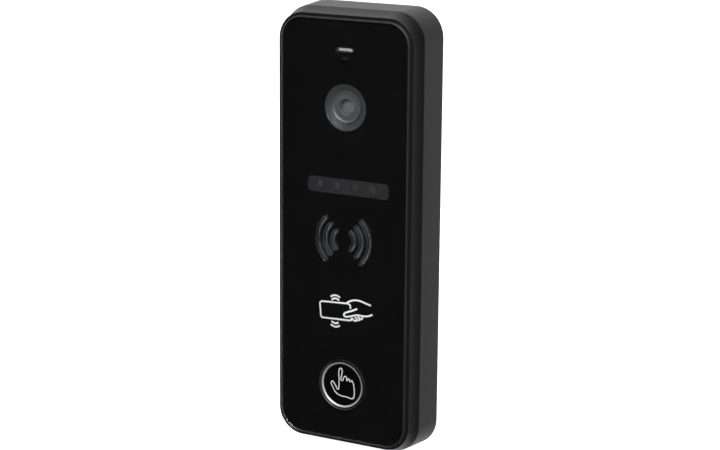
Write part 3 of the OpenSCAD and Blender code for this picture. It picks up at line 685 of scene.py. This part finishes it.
def makePlate():
    shape = bmesh.new()
    addSlab(shape, plateHigh.x - plateLow.x, plateHigh.z - plateLow.z, plate["radius"],
            plateLow.y, plateBack, steps=plate["cornerSteps"])
    bmesh.ops.recalc_face_normals(shape, faces=list(shape.faces))
    soften(shape, edgesAt(shape, plateLow.y), plate["rounding"], 5)
    tool = bmesh.new()
    addFrontHoles(tool, plateLow.y - past, plateBack + past)
    shape = carve(shape, tool)
    across, up = plate["holesWithin"]
    near = plate["buttonWithin"]
    holeEdges = [e for e in edgesAt(shape, plateLow.y)
                 if abs(e.verts[0].co.x) < across and abs(e.verts[0].co.z) < up]
    fromButton = {e: (e.verts[0].co - buttonMiddle).xz.length for e in holeEdges}
    soften(shape, [e for e in holeEdges if fromButton[e] < near], plate["chamfer"], 1)
    soften(shape, [e for e in holeEdges if e.is_valid and fromButton[e] >= near], plate["holeSoftness"], 1)
    # the outer edge and the button's chamfer are buffed, and so is the wall of each hole
    for face in shape.faces:
        middle = face.calc_center_median()
        outer = abs(middle.x) > across or abs(middle.z) > up
        shown = outer or (middle - buttonMiddle).xz.length < near
        face.material_index = 1 if abs(face.normal.y) < (0.99 if shown else 0.5) else 0
    piece = finishPiece("acrylic_plate", shape, "housing", "plate_acrylic", ["front_plate"],
                        ["plate_acrylic", "plate_edge"])
    piece.visible_shadow = False


filmOverlap = 0.01  # how far films and print reach into the plate, so that no air shows between


def makeFilm():
    low, high = spanOf("plate_film")
    front = plateBack - filmOverlap
    shape = bmesh.new()
    addSlab(shape, high.x - low.x, high.z - low.z, plate["radius"] - plate["filmInset"], front, filmBack,
            steps=plate["cornerSteps"])
    tool = bmesh.new()
    addFrontHoles(tool, front - past, filmBack + past)
    addRod(tool, clearRadius, front - past, filmBack + past, at(cameraMiddle), 96)
    infraredLow, infraredHigh = spanOf("infrared_filter")
    gap = 2 * plate["filterGap"]
    addSlab(tool, infraredHigh.x - infraredLow.x + gap, infraredHigh.z - infraredLow.z + gap,
            plate["filterRadius"] + plate["filterGap"], front - past, filmBack + past, at(infraredMiddle))
    shape = carve(shape, tool)
    finishPiece("printed_film", shape, "housing", "black_print", ["plate_film"])


def makeFilter():
    low, high = spanOf("infrared_filter")
    shape = bmesh.new()
    addSlab(shape, high.x - low.x, high.z - low.z, plate["filterRadius"], plateBack - filmOverlap, filmBack,
            at(infraredMiddle))
    finishPiece("infrared_film", shape, "housing", "infrared_acrylic", ["infrared_filter"])


wireCloth = {"pitch": 0.55, "wire": 0.3, "wave": 0.03, "inset": 0.25, "margin": 0.3}


def makeWireCloth(name, node, slot, coat, radius=None):
    # wires on a square grid, trimmed to the outline and bent over and under each other
    low, high = spanOf(node)
    middle = middleOf(node)
    pitch = wireCloth["pitch"]
    columns, rows = (max(2, round((high[i] - low[i] - wireCloth["margin"]) / pitch)) for i in (0, 2))
    shape = bmesh.new()
    made = bmesh.ops.create_grid(shape, x_segments=columns, y_segments=rows, size=0.5)["verts"]
    bmesh.ops.scale(shape, verts=made, vec=(columns * pitch, rows * pitch, 1))
    if radius:
        reach = radius - wireCloth["inset"]
        bmesh.ops.delete(shape, geom=[v for v in shape.verts if v.co.length > reach], context="VERTS")
    bmesh.ops.transform(shape, matrix=Matrix.Translation(middle) @ inPlane(), verts=list(shape.verts))
    for vert in shape.verts:
        column = round((vert.co.x - middle.x) / pitch)
        row = round((vert.co.z - middle.z) / pitch)
        vert.co.y += wireCloth["wave"] if (column + row) % 2 else -wireCloth["wave"]
    cloth = looseObject(shape, "cloth")
    wires = cloth.modifiers.new("wires", "WIREFRAME")
    wires.thickness = wireCloth["wire"]
    wires.use_boundary = True
    wires.use_even_offset = False
    finishPiece(name, settle(cloth), "housing", slot, [node], [coat], weigh=False)


makePlate()
makeFilm()
makeFilter()
speakerLow, speakerHigh = spanOf("speaker_mesh")
makeWireCloth("speaker_wire_cloth", "speaker_mesh", "mesh_steel", "mesh_steel",
              (speakerHigh.x - speakerLow.x) / 2)
makeWireCloth("microphone_nylon_cloth", "microphone_mesh", "white_nylon", "nylon_cloth")
print("front plate, film and meshes shaped")


# Printed symbols

cardSymbol = {
    "line": 0.6,
    "lift": 0.04,
    "shift": 0,
    # each line is closed or open, rounded or straight, with its points across and up in millimetres
    "lines": [
        (False, 0, [(2.5, -25.2), (2.4, -24.1), (1.6, -23.6), (-8.5, -24.1), (-9.2, -24.7), (-8.8, -29.2),
                    (-8.3, -29.7), (2.0, -29.3), (2.8, -29.1), (3.0, -28.3)]),
        (False, 1, [(1.2, -23.3), (2.5, -22.6), (4.2, -22.1), (6.0, -22.1), (8.1, -22.6), (10.2, -23.1)]),
        (False, 1, [(5.0, -24.9), (3.9, -25.5), (2.7, -26.0), (1.2, -26.6), (0.3, -27.1), (0.0, -27.7),
                    (0.6, -28.2), (1.5, -28.1), (2.9, -27.7), (5.0, -27.1), (6.9, -27.1), (8.4, -27.0),
                    (9.6, -26.7), (10.8, -26.1)]),
        (False, 1, [(3.1, -28.3), (3.6, -28.9), (4.4, -29.1), (4.9, -28.7), (4.2, -27.8)]),
        (False, 1, [(4.9, -28.7), (5.7, -28.7), (6.1, -28.3), (5.2, -27.6)]),
        (False, 1, [(6.1, -28.3), (6.8, -28.1), (7.2, -27.5)]),
        (False, 1, [(-5.1, -22.1), (-4.2, -21.6), (-3.2, -21.4), (-2.2, -21.6), (-1.5, -22.0)]),
        (False, 1, [(-4.7, -23.1), (-3.9, -22.6), (-3.0, -22.5), (-2.3, -22.7), (-1.9, -23.1)]),
        (False, 1, [(-4.7, -30.5), (-3.9, -30.9), (-3.0, -31.0), (-2.0, -30.6)]),
        (False, 1, [(-5.0, -31.6), (-4.0, -32.1), (-2.8, -32.2), (-1.5, -31.6)]),
    ],
}
handSymbol = {
    "line": 0.4,
    "lift": 0.02,
    "shift": -0.12,
    "lines": [
        (True, 1, [(-0.65, -46.1), (-1.1, -46.7), (-1.2, -48.3), (-1.1, -50.3), (-1.15, -52.3), (-1.5, -53.5),
                   (-2.2, -52.7), (-3.0, -51.5), (-3.65, -51.0), (-4.15, -51.6), (-3.6, -52.8), (-2.8, -54.2),
                   (-2.1, -54.9), (-0.1, -55.6), (2.0, -55.7), (4.3, -55.8), (4.75, -54.5), (4.7, -52.4),
                   (4.2, -50.2), (3.9, -49.8), (3.5, -49.9), (3.1, -50.2), (2.9, -49.5), (2.4, -49.3),
                   (1.9, -50.0), (1.8, -49.1), (1.3, -48.6), (0.7, -49.1), (0.3, -50.1), (-0.25, -50.1),
                   (-0.15, -48.5), (0.05, -46.9), (-0.1, -46.2)]),
    ],
}


def makeSymbol(name, symbol, depth, body):
    # each line is a round curve, made a mesh and pressed flat
    shape = bmesh.new()
    for closed, rounded, points in symbol["lines"]:
        curve = bpy.data.curves.new("line", "CURVE")
        curve.dimensions = "3D"
        curve.bevel_depth = symbol["line"] / 2
        curve.bevel_resolution = 2
        curve.resolution_u = 6
        curve.use_fill_caps = True
        spline = curve.splines.new("BEZIER")
        spline.bezier_points.add(len(points) - 1)
        spline.use_cyclic_u = closed
        for knot, (x, z) in zip(spline.bezier_points, points):
            knot.co = (x + symbol["shift"], 0, z)
            knot.handle_left_type = knot.handle_right_type = "AUTO" if rounded else "VECTOR"
        line = bpy.data.objects.new("line", curve)
        bpy.context.scene.collection.objects.link(line)
        bpy.context.view_layer.update()
        mesh = bpy.data.meshes.new_from_object(line.evaluated_get(bpy.context.evaluated_depsgraph_get()))
        shape.from_mesh(mesh)
        bpy.data.objects.remove(line)
        bpy.data.curves.remove(curve)
        bpy.data.meshes.remove(mesh)
    bmesh.ops.scale(shape, vec=(1, symbol["lift"] / (symbol["line"] / 2), 1), verts=list(shape.verts))
    bmesh.ops.translate(shape, vec=(0, depth, 0), verts=list(shape.verts))
    finishPiece(name, shape, body, "white_nylon", (), ["white_ink"], smooth=60, weigh=False)


makeSymbol("card_and_hand_print", cardSymbol, plateBack - filmOverlap, "housing")
capLow, capHigh = spanOf("button_cap")
makeSymbol("pointing_hand_print", handSymbol, capLow.y, "call_button")
print("symbols printed")


# Call button

button = {
    "ringWidth": 0.88,
    "ringRise": 0.2,      # of the ring's outer lip over the button's face
    "ringDish": 0.12,     # how far its inner edge dips below the face
    "ringLip": 0.3,       # from the crest out to the ring's side
    "bevel": 0.12,
    "stem": 5.5,          # radius behind the face
    "groove": (4.95, 0.1, 0.9),  # for the retainer: radius, and where it starts and ends
}


def makeButton():
    outer = (spanOf("button_ring")[1].x - spanOf("button_ring")[0].x) / 2
    ringBack = spanOf("button_ring")[1].y
    inner = outer - button["ringWidth"]
    top = capLow.y
    ease, stem = button["bevel"], button["stem"]
    groove, start, end = button["groove"]
    start, end = innerPlane + start, innerPlane + end
    cap = bmesh.new()
    addTurned(cap, [(0, top), (inner - ease, top), (inner - 0.03, top + ease * 0.3), (inner, top + ease),
                    (inner, ringBack), (stem, ringBack), (stem, start), (groove, start), (groove, end),
                    (stem, end), (stem, capHigh.y), (0, capHigh.y)], at(buttonMiddle), 96)
    finishPiece("button_face", cap, "call_button", "button_acrylic", ["button_cap"], smooth=40)
    ring = bmesh.new()
    high, deep, lip = button["ringRise"], button["ringDish"], button["ringLip"]
    addTurned(ring, [(inner, top + deep), (inner + 0.05, top + deep - 0.02), (outer - lip, top - high),
                     (outer - lip * 0.8, top - high + 0.02), (outer - lip / 3, top + lip), (outer, top + lip),
                     (outer, ringBack), (inner, ringBack), (inner, top + deep)], at(buttonMiddle), 128)
    # the chrome is only on the dished face
    for face in ring.faces:
        dished = (face.calc_center_median() - buttonMiddle).xz.length < outer - lip * 0.9
        face.material_index = 0 if dished else 1
    finishPiece("button_trim_ring", ring, "call_button", "ring_chrome", ["button_ring"],
                ["ring_chrome", "button_acrylic"], smooth=40)


makeButton()
print("call button shaped")


# Camera behind its window

cameraParts = {"bore": 1.4, "lensRise": 0.5, "funnelSteps": 9, "funnelDrop": 0.9}


def makeCameraParts():
    low, high = spanOf("lens_barrel")
    radius = (high.x - low.x) / 2
    lensLow, lensHigh = spanOf("front_lens")
    lens = (lensHigh.x - lensLow.x) / 2
    bore, mouth = cameraParts["bore"], low.y
    seat = lensLow.y + cameraParts["lensRise"]
    barrel = bmesh.new()
    addTurned(barrel, [(radius - 0.2, mouth), (radius - 0.08, mouth + 0.04), (radius, mouth + 0.2),
                       (radius, high.y), (bore, high.y), (bore, seat + 0.5), (lens + 0.05, seat + 0.5),
                       (lens + 0.05, seat - 0.02), (lens + 0.25, seat - 0.1), (lens + 0.3, seat - 0.35),
                       (lens + 0.55, mouth + 0.6), (lens + 0.75, mouth + 0.38), (lens + 0.95, mouth + 0.46),
                       (radius - 0.95, mouth + 0.44), (radius - 0.8, mouth + 0.38),
                       (radius - 0.28, mouth + 0.03), (radius - 0.2, mouth)], at(cameraMiddle), 96)
    finishPiece("lens_barrel_rings", barrel, "housing", "barrel_aluminium", ["lens_barrel"])
    shroudLow, shroudHigh = spanOf("camera_shroud")
    wide = (shroudHigh.x - shroudLow.x) / 2
    narrow = radius + 0.05
    edge, front = wide - 0.1, shroudLow.y + 0.05
    steps, drop = cameraParts["funnelSteps"], cameraParts["funnelDrop"]
    funnel = bmesh.new()
    slope = [(edge - (edge - narrow) * i / steps, front + drop * i / steps) for i in range(steps + 1)]
    profile = []
    for (radiusNow, depthNow), following in zip(slope, slope[1:]):
        profile += [(radiusNow, depthNow), (radiusNow - 0.02, following[1] - 0.06)]
    profile += [slope[-1], (narrow, shroudHigh.y), (wide, shroudHigh.y), (wide, front), slope[0]]
    addTurned(funnel, profile, at(cameraMiddle), 96)
    finishPiece("camera_funnel", funnel, "housing", "shroud_moulding", ["camera_shroud"])
    dome = bmesh.new()
    rise = cameraParts["lensRise"]
    ball = (lens * lens + rise * rise) / (2 * rise)
    reach = math.asin(lens / ball)
    arc = [(ball * math.sin(reach * i / 10), lensLow.y + ball * (1 - math.cos(reach * i / 10)))
           for i in range(11)]
    addTurned(dome, arc + [(lens, lensHigh.y), (0, lensHigh.y)], at(cameraMiddle), 64)
    glass = finishPiece("coated_lens", dome, "housing", "lens_glass", ["front_lens"])
    glass.visible_shadow = False


makeCameraParts()
print("camera parts shaped")


# Rear cover, grommet and bracket

rear = {
    "softness": 0.2,
    "screwHead": 2.05,         # radii of the openings
    "neck": 4.4,
    "plug": 2.4,
    "coverGroovesUp": (-54, -38, 6, 22, 38, 54),
    "coverGroove": (30, 1.2, 0.55),    # width, height and corner radius, as in the next ones
    "sheetGroove": (2.4, 52, 1.1),
    "sheetGrooveAt": (16, 30),
    "grooveDepth": 0.35,
    "bracketRadius": 7.5,
    "bracketInset": 0.6,       # from the cover's outline
    "sheet": 1.5,              # thickness
    "hook": (9, 3.4, 0.3),
    "tab": (10, 3, 0.3),
    "wallHole": 2.2,
    "wallHoleUp": 48,
    "cableOpening": (28, 28, 2),
    "lockHole": 1.27,
}


def makeRearCover():
    low, high = spanOf("rear_cover")
    shape = bmesh.new()
    addSlab(shape, high.x - low.x, high.z - low.z, casing["coverRadius"], low.y, high.y, steps=12)
    bmesh.ops.recalc_face_normals(shape, faces=list(shape.faces))
    soften(shape, edgesAt(shape, high.y), rear["softness"], 2)
    tool = bmesh.new()
    for place in screwPlaces("cover_screws"):
        addRod(tool, rear["screwHead"], high.y - 1, high.y + past, place)
    grommetLow, grommetHigh = spanOf("cable_grommet")
    grommet = middleOf("cable_grommet")
    addRod(tool, rear["neck"], low.y - past, high.y + past, at(grommet), 64)
    addRod(tool, rear["plug"], low.y - past, high.y + past, at(middleOf("trimmer_plug")))
    # shallow grooves between the screws
    for up in rear["coverGroovesUp"]:
        addSlab(tool, *rear["coverGroove"], high.y - rear["grooveDepth"], high.y + past, (0, up), 4)
    shape = carve(shape, tool)
    finishPiece("rear_cover_panel", shape, "housing", "cover_moulding", ["rear_cover"])
    gland = bmesh.new()
    bore, neck, flange = 3.0, rear["neck"], (grommetHigh.x - grommetLow.x) / 2
    addTurned(gland, [(bore, grommetLow.y), (bore + 0.3, grommetLow.y), (flange - 0.5, grommetLow.y + 0.1),
                      (flange - 0.1, grommetLow.y + 0.6), (flange, low.y), (neck, low.y), (neck, high.y),
                      (flange, high.y), (flange - 0.1, high.y + 0.3), (flange - 0.6, high.y + 0.7),
                      (bore + 0.9, grommetHigh.y - 0.1), (bore + 0.3, grommetHigh.y),
                      (bore, grommetHigh.y - 0.2), (bore, grommetLow.y)], at(grommet), 64)
    finishPiece("cable_gland_rubber", gland, "housing", "black_rubber", ["cable_grommet"])


def makeBracket():
    low, high = spanOf("wall_bracket")
    coverLow, coverHigh = spanOf("rear_cover")
    inset = 2 * rear["bracketInset"]
    width, height = coverHigh.x - coverLow.x - inset, coverHigh.z - coverLow.z - inset
    front, back = -rear["sheet"], high.y
    shape = bmesh.new()
    addSlab(shape, width, height, rear["bracketRadius"], front, back, steps=12)
    tool = bmesh.new()
    for side in (-1, 1):
        addSlab(tool, *rear["hook"], front, back, (side * casing["hookSpread"], height / 2), 2)
    tabUp = -height / 2 + rear["tab"][1] / 2
    addSlab(tool, *rear["tab"], low.y, back, (0, tabUp), 2)
    shape = carve(shape, tool, "UNION")
    tool = bmesh.new()
    for side in (-1, 1):
        addRod(tool, rear["wallHole"], front - past, back + past, (0, side * rear["wallHoleUp"]), 48)
    addSlab(tool, *rear["cableOpening"], front - past, back + past, at(middleOf("cable_grommet")), 6)
    # stamped grooves stiffen the sheet
    for side in (-1, 1):
        across, up = rear["sheetGrooveAt"]
        addSlab(tool, *rear["sheetGroove"], back - rear["grooveDepth"], back + past, (side * across, up), 6)
    addLockHole(tool, rear["lockHole"], 3, tabUp)
    shape = carve(shape, tool)
    finishPiece("bracket_sheet", shape, "housing", "bracket_zinc", ["wall_bracket"])


makeRearCover()
makeBracket()
print("rear shaped")


# CAD nodes that keep their own shape

keptNodes = {
    "plate_adhesive": "tape", "light_pipes": "clear_acrylic", "button_retainer": "white_nylon",
    "switch_body": "black_moulding", "switch_plunger": "white_nylon", "button_lamps": "lamp_phosphor",
    "main_board": "board_laminate", "main_chip": "chip_epoxy", "small_chips": "chip_epoxy",
    "capacitors": "capacitor_can", "cable_header": "white_nylon", "volume_trimmer": "trimmer_case",
    "trimmer_rotor": "white_nylon", "trimmer_plug": "black_rubber", "camera_board_panel": "board_laminate",
    "image_sensor": "sensor_glass", "lens_holder": "black_moulding", "camera_screws": "screw_steel",
    "camera_ribbon": "ribbon_film", "infrared_board": "board_laminate", "infrared_lamps": "lamp_resin",
    "infrared_baffle": "black_foam", "speaker_frame": "speaker_steel", "speaker_cone": "speaker_film",
    "speaker_magnet": "magnet_ferrite", "speaker_gasket": "black_foam", "sensor_board": "board_laminate",
    "microphone": "screw_steel", "microphone_boot": "black_rubber", "light_sensor": "sensor_glass",
    "reader_board": "board_laminate", "reader_coil": "coil_copper", "cover_seal": "black_rubber",
    "cover_screws": "screw_steel", "board_screws": "screw_steel", "lock_screw": "screw_steel",
}
for node, slot in keptNodes.items():
    data = nodes[node].data
    data.materials.clear()
    data.materials.append(finishes[slot])
print("kept nodes finished:", len(keptNodes))


# Floor, world and lights

studio = {
    "floorSize": 4.0,
    "floorGap": 0.2,
    "behind": (-0.45, 0.89, 0.0),  # the way to the bright side of the studio
    "darkest": 0.03,
    "brightest": 1.0,
    "dawn": (0.17, 0.68),  # where the light starts and is full, from side to behind
    "keyPower": 19.0,
    "keySize": 0.7,
    "keyPlace": (0.33, -1.0, 0.9),
    "topPower": 3.5,
    "topSize": 0.9,
    "topPlace": (-0.55, 0.35, 1.1),
}


def makeFloor():
    shape = bmesh.new()
    bmesh.ops.create_grid(shape, x_segments=1, y_segments=1, size=studio["floorSize"] / mm)
    bmesh.ops.translate(shape, vec=(0, 0, cadBox[0][2] / mm - studio["floorGap"]), verts=list(shape.verts))
    bmesh.ops.scale(shape, vec=(mm, mm, mm), verts=list(shape.verts))
    floor = looseObject(shape, "studio_floor")
    floor.data.materials.append(finishes["floor_paper"])
    floor.visible_glossy = False
    floor.visible_diffuse = False
    floor.visible_transmission = False
    floor.visible_shadow = False


def makeWorld():
    world = bpy.data.worlds.new("paleStudio")
    bpy.context.scene.world = world
    world.use_nodes = True
    tree = world.node_tree
    tree.nodes.clear()
    way = addNode(tree, "ShaderNodeTexCoord").outputs["Generated"]
    side = addNode(tree, "ShaderNodeVectorMath", {"operation": "DOT_PRODUCT", 1: studio["behind"]},
                   {0: way}).outputs["Value"]
    dim, full = studio["dawn"]
    glow = addNode(tree, "ShaderNodeMapRange",
                   {"interpolation_type": "SMOOTHSTEP", "From Min": dim, "From Max": full,
                    "To Min": studio["darkest"], "To Max": studio["brightest"]},
                   {"Value": side}).outputs["Result"]
    seen = addNode(tree, "ShaderNodeLightPath").outputs["Is Camera Ray"]
    strength = addNode(tree, "ShaderNodeMath", {"operation": "MAXIMUM"}, {0: glow, 1: seen}).outputs["Value"]
    light = addNode(tree, "ShaderNodeBackground", {"Color": (1, 1, 1, 1)}, {"Strength": strength})
    addNode(tree, "ShaderNodeOutputWorld", links={"Surface": light.outputs["Background"]})


def makeLamp(name, place, size, power, mirrored):
    data = bpy.data.lights.new(name, "AREA")
    data.size = size
    data.energy = power
    lamp = bpy.data.objects.new(name, data)
    bpy.context.scene.collection.objects.link(lamp)
    lamp.location = place
    lamp.rotation_euler = Vector(place).to_track_quat("Z", "Y").to_euler()
    lamp.visible_glossy = mirrored


makeFloor()
makeWorld()
makeLamp("keySoftbox", studio["keyPlace"], studio["keySize"], studio["keyPower"], True)
makeLamp("topSoftbox", studio["topPlace"], studio["topSize"], studio["topPower"], False)
bpy.context.scene.view_settings.view_transform = "Standard"
print("studio lit")
